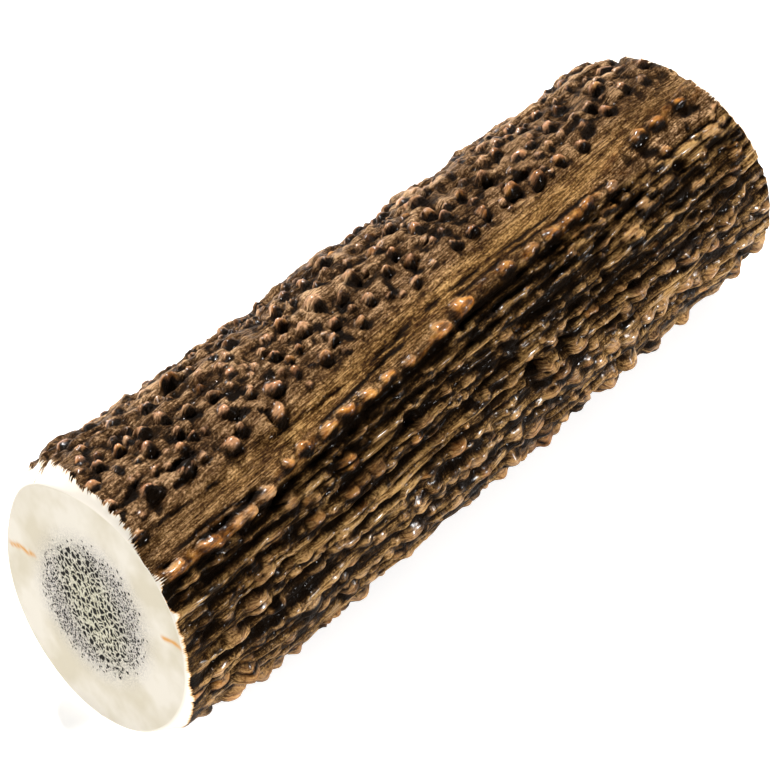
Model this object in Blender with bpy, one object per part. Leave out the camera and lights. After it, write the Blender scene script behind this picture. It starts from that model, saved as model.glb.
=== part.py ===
"""A sawn section of red deer antler beam, lying on its side, with its pearled and ridged bark.

Metres, +Z up. The beam lies along X with its thicker sawn end at -X. The origin is under the middle of
the piece, on the surface that it rests on. Places on the bark are given as millimetres from the thick
end and degrees round from the top, towards -Y.
"""

import math

import bmesh
import bpy
import numpy as np
from mathutils import Matrix, Vector

MM = 0.001

# The beam: its length on the axis, and the semi-axes of its oval section between the pearls
LENGTH = 117.9
WIDE_THICK_END = 18.9
WIDE_THIN_END = 18.1
NARROW_THICK_END = 18.5
NARROW_THIN_END = 17.4
OVAL_TURN = -57.0
MEAN_RADIUS = 18.3

# Where the bark stands out beyond the oval, on the lower flank and along the far edge of the back:
# degrees round, the millimetres it reaches to either side, and its rise at millimetres along
FLANKS = (
    (
        122.0, 11.0, 8.0,
        (
            (0, 1.4), (12, 2.1), (22, 2.6), (30, 2.1), (41, 2.9), (50, 2.6), (62, 2.0), (72, 2.4),
            (82, 1.5), (88, 2.0), (97, 1.0), (109, 1.4), (118, 0.2),
        ),
    ),
    (
        -58.0, 7.0, 7.0,
        (
            (0, -0.5), (6, 0.0), (9, 0.9), (13, 0.6), (18, -0.2), (30, -0.5), (40, -0.1), (60, 0.25),
            (69, -0.1), (75, 0.5), (82, 0.1), (89, 0.7), (96, 0.0), (104, 0.0), (109, 0.9), (118, 0.9),
        ),
    ),
)

# The saw cuts and the ground bevel round them. A slope is the tangent of the cut's lean over Y and Z
THICK_CUT_LEAN = (0.011, 0.167)
THICK_BEVEL_DEPTH = 3.0
THICK_BEVEL_LEAN = (0.105, 0.002)
THICK_BEVEL_BACK_LEAN = 0.22
THICK_FACE_SHARE = 0.925
THICK_FACE_SHIFT = 1.6
THICK_FACE_CORNER = 1.3
THICK_CORNER_TURN = -48.0
THICK_CORNER_WIDTH = 22.0
THIN_CUT_LEAN = (-0.12, 0.001)
THIN_BEVEL_DEPTH = 1.6
THIN_FACE_SHARE = 0.945
RIM_RISE = 0.5
LEAST_BEVEL = 0.9

# The smooth trough along the photographed side, and the ridge of amber beads below it
TROUGH = ((0, 31.5), (30, 28), (50, 22), (70, 18), (90, 15), (105, 9), (118, 6))
TROUGH_HALF_WIDTH = 2.6
TROUGH_DEPTH = 0.7
BEAD_RIDGES = (
    (
        (0, 43.5), (12, 42.5), (22, 41), (27, 37), (40, 35), (50, 34), (58, 31), (66, 28.5), (72, 27),
        (96, 27),
    ),
    ((97, 17), (103, 15.5), (112, 13), (118, 12)),
)
BEAD_RIDGE_HALF_WIDTH = 1.1
BEAD_RIDGE_HEIGHT = 0.55

# Crevices on the photographed side, the deep one first
MAIN_CREVICE = (
    (0, 48.5), (12, 47.5), (22, 46), (30, 44), (36, 42), (42, 39.5), (50, 38.5), (58, 35.5), (66, 32.5),
    (76, 33), (86, 31.5), (97, 29.5),
)
SIDE_CREVICES = (
    ((5, 38.5), (14, 39.5), (23, 38)),
    ((0, 52.5), (10, 53.5), (22, 54), (31, 52)),
    ((1, 63), (10, 62), (20, 60.5), (34, 59), (44, 56), (52, 55)),
    ((0, 71), (14, 71.5), (30, 69.5), (42, 68.5), (52, 65.5), (63, 62.5)),
    ((0, 80), (16, 81.5), (30, 80), (42, 78), (52, 76), (62, 73.5), (76, 71.5), (90, 70.5), (118, 70)),
    ((1, 88), (14, 88.5), (26, 86.5), (40, 84.5), (57, 84.5)),
    ((35, 48), (44, 46.5), (54, 46), (66, 43), (78, 42.5), (85, 44)),
    ((51, 51.5), (62, 51), (72, 51), (85, 49.5)),
    ((60, 60.5), (72, 59.5), (84, 60.5), (96, 58), (111, 57)),
    ((75, 66), (88, 63.5), (100, 62), (118, 63)),
    ((65, 38), (76, 37.5), (83, 40)),
    ((83, 46), (90, 41), (98, 38)),
    ((97, 46), (108, 44.5), (118, 42)),
    ((60, 80), (72, 81), (84, 80), (98, 79.5)),
)
CREVICE_HALF_WIDTH = 0.7
MAIN_CREVICE_DEPTH = 1.5
SIDE_CREVICE_DEPTH = 0.9

# Pearls and beads of the photographed side, each as millimetres along, degrees round and radius
PEARLS = (
    (4.5, -4, 1.6), (4.5, 7, 1.6), (4, 25, 1.5), (8, -11.5, 1.7), (11.5, -12.5, 1.6), (16, -14, 1.6),
    (19.5, -13.5, 1.8), (26.5, -14.5, 1.5), (22.5, -7.5, 1.8), (26.5, -5.5, 1.7), (9, -3.5, 1.3),
    (14, -3.5, 1.7), (18.5, -3, 1.3), (9.5, 14, 2.1), (15.5, 14.5, 2.1), (19.5, 3.5, 1.3), (25.5, 4.5, 1.8),
    (30.2, 4, 1.8), (33, 9.5, 2.2), (37, -3.5, 1.7), (37.8, 3, 1.3), (37, 10, 1.3), (22.5, 17.5, 2.1),
    (25.5, 14, 1.5), (31, 19, 2.1), (42, -17, 1.6), (48, -13.5, 2.3), (54.5, -14, 2.3), (44, -28, 2.0),
    (43.2, -6, 1.8), (51, -8, 1.8), (59, -5.5, 1.7), (45, 7, 1.5), (47, 1.5, 1.5), (50, 8, 1.8),
    (53.5, 2, 1.6), (35, -24, 1.8), (47.5, -35, 1.6), (38, -37, 1.4), (60.5, -18, 1.6), (62, -11.5, 1.8),
    (62.8, -2, 1.6), (65.5, -26, 1.8), (68, -14, 1.7), (71.5, -18, 2.0), (72, -10, 1.8), (76.5, -15, 1.6),
    (77, -8, 1.3), (81.5, -14.5, 1.9), (82.3, 0.5, 2.1), (76.3, 1, 1.9), (72.5, 6, 1.7), (88, -12.5, 1.5),
    (90.7, -14.5, 1.7), (96, -17, 1.8), (99, -11.5, 1.6), (102.5, -12.5, 2.1), (99, -2.5, 2.1),
    (103.6, -3.5, 2.1), (91.3, 3, 1.6), (96, 4, 1.9), (92.5, -6, 1.5), (106.5, -19, 1.8), (109, -8, 1.8),
    (112.5, -6.5, 1.9), (115.5, -15, 1.9), (93.5, -27, 1.6), (87, -24.5, 1.7),
)
PEARL_HEIGHT_SHARE = 0.62
PEARL_SIZE_SHARE = 0.8
BEADS = (
    (5.5, 43.5, 1.6), (11.3, 42.5, 1.9), (17.2, 42.5, 2.0), (21.8, 41.2, 1.7), (27, 36, 1.2),
    (30.5, 36.5, 1.2), (35, 36.5, 1.3), (38.7, 35.3, 1.3), (42.5, 34.5, 1.2), (46.5, 33.5, 1.2),
    (50.5, 34.5, 1.3),
    (57.5, 31.5, 1.7), (62.5, 30, 2.0), (72, 26.8, 1.3), (77, 28, 1.2), (81, 27.8, 1.3), (85, 27.6, 1.2),
    (89, 27.2, 1.2), (94, 27, 1.2), (103.3, 15.5, 2.0), (107.5, 14, 1.8), (112.8, 13, 1.7), (24, 50, 1.5),
    (34.5, 52.5, 1.7), (47.8, 57.5, 1.4), (16, 69, 1.5), (26.5, 63.5, 1.3), (33, 62.5, 1.3),
    (38, 63.5, 1.4), (46, 62, 1.4), (13.5, 77, 1.9), (9, 84.5, 1.6), (16, 85, 1.7), (24, 83.5, 1.6),
    (30.5, 82, 1.6),
    (51.5, 81.5, 1.8), (66, 53, 1.6), (92.5, 51, 1.8), (97, 43, 1.5), (114, 36.5, 1.9), (69.8, 78, 1.7),
    (76.8, 78, 1.7), (75, 66, 1.4), (80.5, 66.5, 1.4), (89.5, 75, 1.7), (96, 75, 1.7), (103.5, 65.5, 1.5),
    (112, 60.5, 1.5), (109.5, 77, 1.9), (102, 49.5, 1.4),
)
BEAD_HEIGHT_SHARE = 0.5
TALL_BEAD_HEIGHT_SHARE = 0.8
TALL_BEADS_FROM = 106.0
TALL_BEADS_TO = 136.0
BEAD_STRETCH = 1.3
PITS = ((46.3, 53.5, 1.5), (67.8, 73.5, 2.1), (74, 72.5, 1.8), (85.4, 57.5, 1.2), (106, 38, 1.4))
PIT_DEPTH_SHARE = 0.75

# What grows at random over the rest: pearls on the back, beads below and grooves underneath
GROWTH_SEED = 20
BACK_PEARLS = 330
BACK_PEARLS_FROM = -175.0
BACK_PEARLS_TO = 22.0
UNDER_BEADS = 170
UNDER_BEADS_FROM = 84.0
UNDER_BEADS_TO = 190.0
UNDER_GROOVES = 15
GRAIN_TWIST = -0.2
PEARL_SPACING = 0.86

# Two ribs underneath, side by side, which the piece rests on
RIB_PLACES = (163.0, 197.0)
RIB_HALF_WIDTH = 2.2
RIB_HEIGHT = 0.9

# The mesh: the fine rings that the bark is shaped on, and the share of their faces that is kept
SEGMENTS = 192
RINGS = 200
OVERHANG = 4.0
FACES_KEPT = 0.122

BARK_COLOUR = (0.115, 0.066, 0.030, 1.0)
SAWN_COLOUR = (0.78, 0.72, 0.62, 1.0)


def round_from(phi, centre):
    """Millimetres across the bark from the line at centre degrees to phi degrees."""
    return MEAN_RADIUS * np.radians((phi - centre + 180.0) % 360.0 - 180.0)


def along_line(line, x, phi):
    """Millimetres across to a line on the bark, and how much of the line is there at x, from 0 to 1."""
    at, degrees = zip(*line)
    fade = np.minimum(x - at[0], at[-1] - x) / 3.0 + 1.0
    return round_from(phi, np.interp(x, at, degrees)), np.clip(fade, 0.0, 1.0)


def swell(line, half_width, height, x, phi):
    """A soft ridge along a line, or a groove where height is below zero."""
    across, there = along_line(line, x, phi)
    return height * there * np.exp(-((across / half_width) ** 2))


def flank(where, x, phi):
    """How far the bark stands out beyond the oval there."""
    degrees, above, below, rises = where
    across = round_from(phi, degrees)
    reach = np.where(across < 0.0, above, below)
    return np.interp(x, *zip(*rises)) * np.exp(-((across / reach) ** 2))


def dome(place, height_share, x, phi, size_share=1.0, stretch=1.0):
    """A pearl's height over the bark near it: a steep-sided dome, longer along the beam by stretch."""
    along, degrees, radius = place
    reach = ((x - along) / (radius * stretch)) ** 2 + (round_from(phi, degrees) / radius) ** 2
    return height_share * radius * np.clip(1.0 - reach / size_share ** 2, 0.0, None) ** 0.62


def soft_noise(rng, x, phi, cell_along, cells_round):
    """Seeded smooth noise between -1 and 1 that closes round the beam."""
    cells_along = int((LENGTH + 4.0 * OVERHANG) / cell_along) + 3
    heights = rng.uniform(-1.0, 1.0, (cells_along, cells_round))
    u = (x + 2.0 * OVERHANG) / cell_along
    v = (phi % 360.0) / 360.0 * cells_round
    i, j = np.floor(u).astype(int), np.floor(v).astype(int)
    s, t = u - i, v - j
    s, t = s * s * (3.0 - 2.0 * s), t * t * (3.0 - 2.0 * t)
    j, k = j % cells_round, (j + 1) % cells_round
    near = heights[i, j] * (1.0 - t) + heights[i, k] * t
    far = heights[i + 1, j] * (1.0 - t) + heights[i + 1, k] * t
    return near * (1.0 - s) + far * s


def scattered(rng, count, lowest, highest, smallest, largest, taken):
    """Places for lumps between two lines round the beam, none of them on a place that is taken."""
    places = list(taken)
    for _ in range(count * 6):
        if len(places) - len(taken) == count:
            break
        along = rng.uniform(-2.0, LENGTH + 2.0)
        degrees = rng.uniform(lowest, highest) + GRAIN_TWIST * (along - 0.5 * LENGTH)
        radius = smallest + (largest - smallest) * rng.uniform() ** 1.6
        if on_trough(along, degrees, radius):
            continue
        here = (along, degrees, radius)
        if all(apart(here, other) > PEARL_SPACING * (radius + other[2]) for other in places):
            places.append(here)
    return places[len(taken):]


def apart(place, other):
    """Millimetres between two places on the bark."""
    return math.hypot(place[0] - other[0], float(round_from(place[1], other[1])))


def on_trough(along, degrees, radius):
    """Whether a lump there would stand in the smooth trough."""
    across, _ = along_line(TROUGH, along, degrees)
    return abs(across) < TROUGH_HALF_WIDTH + radius * 0.6


def grown_grooves(rng):
    """Grooves that wander along the underside, with the grain."""
    grooves = []
    for number in range(UNDER_GROOVES):
        degrees = 100.0 + 9.0 * number + rng.uniform(-2.0, 2.0)
        start = rng.uniform(-10.0, 45.0)
        end = start + rng.uniform(50.0, 110.0)
        stations = np.linspace(start, end, 6)
        wander = rng.uniform(-1.6, 1.6, 6)
        turned = degrees + GRAIN_TWIST * 0.5 * (stations - start) + wander
        grooves.append(list(zip(stations, turned)))
    return grooves


def oval(x, phi):
    """The beam's radius between its pearls."""
    share = x / LENGTH
    wide = WIDE_THICK_END + (WIDE_THIN_END - WIDE_THICK_END) * share
    narrow = NARROW_THICK_END + (NARROW_THIN_END - NARROW_THICK_END) * share
    turn = np.radians(phi - OVAL_TURN)
    return wide * narrow / np.hypot(narrow * np.cos(turn), wide * np.sin(turn))


def bark(x, phi):
    """The bark's radius at x millimetres along and phi degrees round."""
    rng = np.random.default_rng(GROWTH_SEED)
    pearls = scattered(rng, BACK_PEARLS, BACK_PEARLS_FROM, BACK_PEARLS_TO, 1.0, 2.2, PEARLS)
    beads = scattered(rng, UNDER_BEADS, UNDER_BEADS_FROM, UNDER_BEADS_TO, 1.1, 2.0, BEADS)

    height = 0.45 * soft_noise(rng, x, phi, 13.0, 11) + 0.22 * soft_noise(rng, x, phi, 4.0, 34)
    for where in FLANKS:
        height += flank(where, x, phi)
    height += swell(TROUGH, TROUGH_HALF_WIDTH, -TROUGH_DEPTH, x, phi)
    for ridge in BEAD_RIDGES:
        height += swell(ridge, BEAD_RIDGE_HALF_WIDTH, BEAD_RIDGE_HEIGHT, x, phi)
    for place in RIB_PLACES:
        height += swell(((-9, place), (LENGTH + 9, place)), RIB_HALF_WIDTH, RIB_HEIGHT, x, phi)
    height += swell(MAIN_CREVICE, CREVICE_HALF_WIDTH, -MAIN_CREVICE_DEPTH, x, phi)
    for crevice in list(SIDE_CREVICES) + grown_grooves(rng):
        height += swell(crevice, CREVICE_HALF_WIDTH, -SIDE_CREVICE_DEPTH, x, phi)
    for pit in PITS:
        height -= dome(pit, PIT_DEPTH_SHARE, x, phi)

    raised = np.zeros_like(height)
    for pearl in list(PEARLS) + pearls:
        raised = np.maximum(raised, dome(pearl, PEARL_HEIGHT_SHARE, x, phi, PEARL_SIZE_SHARE))
    for bead in list(BEADS) + beads:
        tall = TALL_BEADS_FROM < bead[1] < TALL_BEADS_TO
        share = TALL_BEAD_HEIGHT_SHARE if tall else BEAD_HEIGHT_SHARE
        raised = np.maximum(raised, dome(bead, share, x, phi, stretch=BEAD_STRETCH))
    return oval(x, phi) + height + raised


def bevelled(radius, x, phi):
    """The radius after both ends have had their bevel ground on."""
    base = oval(np.clip(x, 0.0, LENGTH), phi)
    rim_radius = base + RIM_RISE + sum(flank(where, x, phi) for where in FLANKS)
    side, up = -np.sin(np.radians(phi)), np.cos(np.radians(phi))

    corner = THICK_FACE_CORNER * np.exp(-(((phi - THICK_CORNER_TURN) / THICK_CORNER_WIDTH) ** 2))
    face = THICK_FACE_SHARE * base - THICK_FACE_SHIFT * side + corner
    cut = face * (THICK_CUT_LEAN[0] * side + THICK_CUT_LEAN[1] * up)
    lean = np.where(side > 0.0, THICK_BEVEL_BACK_LEAN, THICK_BEVEL_LEAN[0])
    rim = THICK_BEVEL_DEPTH + base * (lean * side + THICK_BEVEL_LEAN[1] * up)
    thick = face + (rim_radius - face) * (x - cut) / np.maximum(rim - cut, LEAST_BEVEL)

    face = THIN_FACE_SHARE * base
    cut = LENGTH + face * (THIN_CUT_LEAN[0] * side + THIN_CUT_LEAN[1] * up)
    thin = face + (rim_radius - face) * (cut - x) / THIN_BEVEL_DEPTH
    return np.minimum(radius, np.minimum(thick, thin))


def shaped_tube():
    """The beam's outside as an open tube of fine rings, running past both cuts."""
    bm = bmesh.new()
    lying = Matrix.Rotation(math.radians(90.0), 4, "Y")
    bmesh.ops.create_cone(
        bm, cap_ends=False, segments=SEGMENTS, radius1=1.0, radius2=1.0, depth=1.0, matrix=lying
    )
    lengthwise = [edge for edge in bm.edges if abs(edge.verts[0].co.x - edge.verts[1].co.x) > 0.5]
    bmesh.ops.subdivide_edges(bm, edges=lengthwise, cuts=RINGS - 2)
    places = np.array([vertex.co for vertex in bm.verts])
    x = -OVERHANG + (places[:, 0] + 0.5) * (LENGTH + 2.0 * OVERHANG)
    phi = np.degrees(np.arctan2(-places[:, 1], places[:, 2]))
    radius = bevelled(bark(x, phi), x, phi)
    for vertex, along, turn, out in zip(bm.verts, x, np.radians(phi), radius):
        vertex.co = Vector((along, -out * math.sin(turn), out * math.cos(turn))) * MM
    bmesh.ops.recalc_face_normals(bm, faces=bm.faces)
    return bm


def thinned(bm):
    """The same tube with few faces where the bark is plain and more where it is lumpy."""
    mesh = bpy.data.meshes.new("fine_bark")
    bm.to_mesh(mesh)
    bm.free()
    fine = bpy.data.objects.new("fine_bark", mesh)
    bpy.context.scene.collection.objects.link(fine)
    thin = fine.modifiers.new("thin", "DECIMATE")
    thin.ratio = FACES_KEPT
    thin.use_collapse_triangulate = True
    graph = bpy.context.evaluated_depsgraph_get()
    kept = bpy.data.meshes.new_from_object(fine.evaluated_get(graph))
    bpy.data.objects.remove(fine)
    bpy.data.meshes.remove(mesh)
    return kept


def saw(bm, x, lean, outward):
    """Cuts the beam flat at x millimetres, with the cut leaning over Y and Z, and closes it."""
    normal = Vector((1.0, -lean[0], -lean[1])) * outward
    everything = bm.verts[:] + bm.edges[:] + bm.faces[:]
    bmesh.ops.bisect_plane(bm, geom=everything, plane_co=(x * MM, 0, 0), plane_no=normal, clear_outer=True)
    open_edges = [edge for edge in bm.edges if edge.is_boundary]
    end = [edge for edge in open_edges if abs(edge.verts[0].co.x - x * MM) < 2.0 * OVERHANG * MM]
    face = bmesh.ops.edgeloop_fill(bm, edges=end)["faces"][0]
    face.material_index = 1
    face.smooth = False


def stood_on_origin(bm):
    """Moves the piece so that the middle of its underside is at the origin."""
    places = np.array([vertex.co for vertex in bm.verts])
    low, high = places.min(axis=0), places.max(axis=0)
    bmesh.ops.translate(bm, verts=bm.verts, vec=(-(low[0] + high[0]) / 2, -(low[1] + high[1]) / 2, -low[2]))


def material(name, colour, roughness):
    """A plain finish."""
    finish = bpy.data.materials.new(name)
    finish.use_nodes = True
    shader = finish.node_tree.nodes["Principled BSDF"]
    shader.inputs["Base Color"].default_value = colour
    shader.inputs["Roughness"].default_value = roughness
    return finish


def antler_section(collection):
    """The whole piece: bark, bevels and the two sawn ends, one closed solid."""
    mesh = thinned(shaped_tube())
    mesh.name = "antler_section"
    bm = bmesh.new()
    bm.from_mesh(mesh)
    for face in bm.faces:
        face.smooth = True
    saw(bm, 0.0, THICK_CUT_LEAN, -1.0)
    saw(bm, LENGTH, THIN_CUT_LEAN, 1.0)
    stood_on_origin(bm)
    bmesh.ops.recalc_face_normals(bm, faces=bm.faces)
    bm.to_mesh(mesh)
    bm.free()
    mesh.set_sharp_from_angle(angle=math.radians(50.0))
    mesh.materials.append(material("antler_bark", BARK_COLOUR, 0.5))
    mesh.materials.append(material("sawn_antler", SAWN_COLOUR, 0.45))
    piece = bpy.data.objects.new("antler_section", mesh)
    collection.objects.link(piece)
    return piece


def main():
    for old in list(bpy.data.objects):
        bpy.data.objects.remove(old)
    collection = bpy.data.collections.new("red_deer_antler_section")
    bpy.context.scene.collection.children.link(collection)
    antler_section(collection)


main()
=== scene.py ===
"""Looks for a sawn section of red deer antler beam: pearled bark, ground bevels and the spongy sawn ends.

Lengths are millimetres and angles degrees where a name or comment says so, and metres in the scene.
Places on the bark are millimetres from the thick end and degrees round from the top, towards -Y.
"""

import logging
import math
from dataclasses import dataclass, field
from enum import Enum
from typing import Any

import bmesh
import bpy
import numpy as np
from mathutils import Matrix, Vector


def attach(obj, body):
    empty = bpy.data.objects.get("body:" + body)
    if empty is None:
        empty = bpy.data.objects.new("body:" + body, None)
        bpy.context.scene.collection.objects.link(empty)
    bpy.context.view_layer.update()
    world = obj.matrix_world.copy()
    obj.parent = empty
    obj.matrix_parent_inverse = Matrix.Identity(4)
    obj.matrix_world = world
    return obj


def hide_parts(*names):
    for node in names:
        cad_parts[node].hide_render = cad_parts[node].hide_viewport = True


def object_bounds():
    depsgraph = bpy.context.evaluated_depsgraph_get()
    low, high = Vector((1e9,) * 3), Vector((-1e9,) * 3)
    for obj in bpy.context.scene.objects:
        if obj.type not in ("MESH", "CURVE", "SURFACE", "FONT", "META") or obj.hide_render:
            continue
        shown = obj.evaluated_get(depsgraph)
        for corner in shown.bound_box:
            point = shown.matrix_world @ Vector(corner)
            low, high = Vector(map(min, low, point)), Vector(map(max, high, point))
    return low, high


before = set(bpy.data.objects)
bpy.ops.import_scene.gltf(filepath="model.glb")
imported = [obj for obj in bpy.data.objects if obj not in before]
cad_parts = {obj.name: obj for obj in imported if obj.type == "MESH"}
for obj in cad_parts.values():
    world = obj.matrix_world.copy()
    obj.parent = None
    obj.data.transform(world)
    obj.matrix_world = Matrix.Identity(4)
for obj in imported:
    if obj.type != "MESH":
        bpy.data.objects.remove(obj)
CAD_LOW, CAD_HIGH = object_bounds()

MM = 0.001
# Millimetres over which a line on the bark fades out past its ends
LINE_FADE = 3.0
LOG = logging.getLogger("antler")

Line = tuple[tuple[float, float], ...]
Place = tuple[float, float, float]


class End(Enum):
    """The two sawn ends of the section."""

    THICK = "thick"
    THIN = "thin"


def linear(hex_colour: str) -> tuple[float, float, float, float]:
    """Turns an sRGB hex colour into the linear colour that a shader takes.

    Args:
        hex_colour: Six hex digits after a hash sign.

    Returns:
        Linear red, green, blue and an alpha of one.
    """
    channels = [int(hex_colour[i:i + 2], 16) / 255.0 for i in (1, 3, 5)]
    red, green, blue = (c / 12.92 if c <= 0.04045 else ((c + 0.055) / 1.055) ** 2.4 for c in channels)
    return red, green, blue, 1.0


def smooth_step(low: float, high: float, values: np.ndarray) -> np.ndarray:
    """Eases from 0 at low to 1 at high."""
    share = np.clip((values - low) / (high - low), 0.0, 1.0)
    return share * share * (3.0 - 2.0 * share)


def round_from(phi: np.ndarray, centre: np.ndarray | float) -> np.ndarray:
    """Measures across the bark.

    Args:
        phi: Degrees round from the top.
        centre: The line to measure from, in degrees.

    Returns:
        Millimetres across, positive towards the photographed side's lower edge.
    """
    return BEAM.mean_radius * np.radians((phi - centre + 180.0) % 360.0 - 180.0)


def along_line(line: Line, x: np.ndarray, phi: np.ndarray) -> tuple[np.ndarray, np.ndarray]:
    """Finds each point's place against a line that runs along the bark.

    Args:
        line: Millimetres along and degrees round of its points.
        x: Millimetres along.
        phi: Degrees round.

    Returns:
        Millimetres across to the line, and how much of the line is there, from 0 to 1.
    """
    at, degrees = zip(*line)
    fade = np.minimum(x - at[0], at[-1] - x) / LINE_FADE + 1.0
    return round_from(phi, np.interp(x, at, degrees)), np.clip(fade, 0.0, 1.0)


def swell(line: Line, half_width: float, height: float, x: np.ndarray, phi: np.ndarray) -> np.ndarray:
    """Raises a soft ridge along a line, or sinks a groove.

    Args:
        line: The line it follows.
        half_width: Millimetres from its crest to where it has mostly gone.
        height: Millimetres, below zero for a groove.
        x: Millimetres along.
        phi: Degrees round.

    Returns:
        Its height at each point.
    """
    across, there = along_line(line, x, phi)
    return height * there * np.exp(-((across / half_width) ** 2))


def soft_noise(
    rng: np.random.Generator, x: np.ndarray, phi: np.ndarray, cell: float, cells: int
) -> np.ndarray:
    """Makes smooth noise that closes round the beam.

    Args:
        rng: The seeded source of its heights.
        x: Millimetres along.
        phi: Degrees round.
        cell: Millimetres between its heights along the beam.
        cells: How many heights it has round the beam.

    Returns:
        Values between -1 and 1.
    """
    rows = int((BEAM.length + 4.0 * BEAM.overhang) / cell) + 3
    heights = rng.uniform(-1.0, 1.0, (rows, cells))
    u = (x + 2.0 * BEAM.overhang) / cell
    v = (phi % 360.0) / 360.0 * cells
    i, j = np.floor(u).astype(int), np.floor(v).astype(int)
    s, t = u - i, v - j
    s, t = s * s * (3.0 - 2.0 * s), t * t * (3.0 - 2.0 * t)
    j, k = j % cells, (j + 1) % cells
    near = heights[i, j] * (1.0 - t) + heights[i, k] * t
    far = heights[i + 1, j] * (1.0 - t) + heights[i + 1, k] * t
    return near * (1.0 - s) + far * s


@dataclass(frozen=True)
class Ripple:
    """Soft unevenness: its height, its length along the beam in millimetres and how many go round."""

    height: float
    length: float
    around: int

    def over(self, rng: np.random.Generator, x: np.ndarray, phi: np.ndarray) -> np.ndarray:
        """Gives its height at each point."""
        return self.height * soft_noise(rng, x, phi, self.length, self.around)


def ripples(
    kinds: tuple[Ripple, ...], rng: np.random.Generator, x: np.ndarray, phi: np.ndarray
) -> np.ndarray:
    """Adds up the heights of several ripples, drawn in their order."""
    return sum(kind.over(rng, x, phi) for kind in kinds)


@dataclass(frozen=True)
class Beam:
    """The plain form of the section, as it is between its pearls, in millimetres and degrees."""

    length: float = 117.9
    wide: tuple[float, float] = (18.9, 18.1)
    narrow: tuple[float, float] = (18.5, 17.4)
    oval_turn: float = -57.0
    mean_radius: float = 18.3
    overhang: float = 4.0
    grain_twist: float = -0.2
    grain_slopes: Line = ((-180.0, -0.05), (-60.0, -0.12), (20.0, -0.2), (80.0, -0.06), (180.0, -0.05))

    def radius(self, x: np.ndarray, phi: np.ndarray) -> np.ndarray:
        """Works out the oval, tapering radius.

        Args:
            x: Millimetres along.
            phi: Degrees round.

        Returns:
            Millimetres from the axis at each point.
        """
        share = x / self.length
        wide = self.wide[0] + (self.wide[1] - self.wide[0]) * share
        narrow = self.narrow[0] + (self.narrow[1] - self.narrow[0]) * share
        turn = np.radians(phi - self.oval_turn)
        return wide * narrow / np.hypot(narrow * np.cos(turn), wide * np.sin(turn))

    def along_grain(self, x: np.ndarray, phi: np.ndarray) -> np.ndarray:
        """Turns each point back along its fibre to mid length, and gives the degrees round there."""
        return phi - np.interp(phi, *zip(*self.grain_slopes)) * (x - 0.5 * self.length)


BEAM = Beam()


@dataclass(frozen=True)
class Flank:
    """A stretch of bark that stands out beyond the oval, in millimetres and degrees."""

    degrees: float
    above: float
    below: float
    rises: Line

    def rise(self, x: np.ndarray, phi: np.ndarray) -> np.ndarray:
        """Works out how far the bark stands out there.

        Args:
            x: Millimetres along.
            phi: Degrees round.

        Returns:
            Millimetres at each point.
        """
        across = round_from(phi, self.degrees)
        reach = np.where(across < 0.0, self.above, self.below)
        return np.interp(x, *zip(*self.rises)) * np.exp(-((across / reach) ** 2))


FLANKS = (
    Flank(
        122.0, 11.0, 8.0,
        (
            (0, 1.4), (12, 2.1), (22, 2.6), (30, 2.1), (41, 2.9), (50, 2.6), (62, 2.0), (72, 2.4),
            (82, 1.5), (88, 2.0), (97, 1.0), (109, 1.4), (118, 0.2),
        ),
    ),
    Flank(
        -58.0, 7.0, 7.0,
        (
            (0, -0.5), (6, 0.0), (9, 0.9), (13, 0.6), (18, -0.2), (30, -0.5), (40, -0.1), (60, 0.25),
            (69, -0.1), (75, 0.5), (82, 0.1), (89, 0.7), (96, 0.0), (104, 0.0), (109, 0.9), (118, 0.9),
        ),
    ),
)


@dataclass(frozen=True)
class SawnEnd:
    """A flat saw cut with the bevel ground round it. A lean is the tangent of its slope over Y and Z."""

    end: End
    at: float
    cut_lean: tuple[float, float]
    bevel_depth: float
    bevel_lean: tuple[float, float]
    back_lean: float
    face_share: float
    face_shift: float = 0.0
    face_corner: float = 0.0
    corner_turn: float = -48.0
    corner_width: float = 22.0
    rim_rise: float = 0.5

    def face_radius(self, base: np.ndarray, phi: np.ndarray) -> np.ndarray:
        """Gives the radius of the flat face's edge in millimetres, from the beam's own radius."""
        corner = self.face_corner * np.exp(-(((phi - self.corner_turn) / self.corner_width) ** 2))
        return self.face_share * base + self.face_shift * np.sin(np.radians(phi)) + corner

    def cut(self, across: np.ndarray, up: np.ndarray) -> np.ndarray:
        """Gives the cut's place along the beam at millimetres across and up from the axis."""
        return self.at + self.cut_lean[0] * across + self.cut_lean[1] * up

    def face(self, phi: np.ndarray) -> tuple[np.ndarray, np.ndarray]:
        """Finds the flat face's edge.

        Args:
            phi: Degrees round.

        Returns:
            Its radius and its place along the beam, in millimetres.
        """
        radius = self.face_radius(BEAM.radius(np.full_like(phi, self.at), phi), phi)
        return radius, self.cut(-radius * np.sin(np.radians(phi)), radius * np.cos(np.radians(phi)))

    def bevel(self, x: np.ndarray, phi: np.ndarray) -> np.ndarray:
        """Works out the ground cone that the bark is cut down to.

        Args:
            x: Millimetres along.
            phi: Degrees round.

        Returns:
            The cone's radius in millimetres.
        """
        inward = 1.0 if self.end is End.THICK else -1.0
        base = BEAM.radius(np.clip(x, 0.0, BEAM.length), phi)
        side, up = -np.sin(np.radians(phi)), np.cos(np.radians(phi))
        face = self.face_radius(base, phi)
        edge = self.cut(face * side, face * up)
        lean = np.where(side > 0.0, self.back_lean, self.bevel_lean[0])
        rim = self.at + inward * self.bevel_depth + base * (lean * side + self.bevel_lean[1] * up)
        depth = np.maximum((rim - edge) * inward, 0.9)
        rim_radius = base + self.rim_rise + sum(flank.rise(x, phi) for flank in FLANKS)
        return face + (rim_radius - face) * (x - edge) * inward / depth


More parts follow.
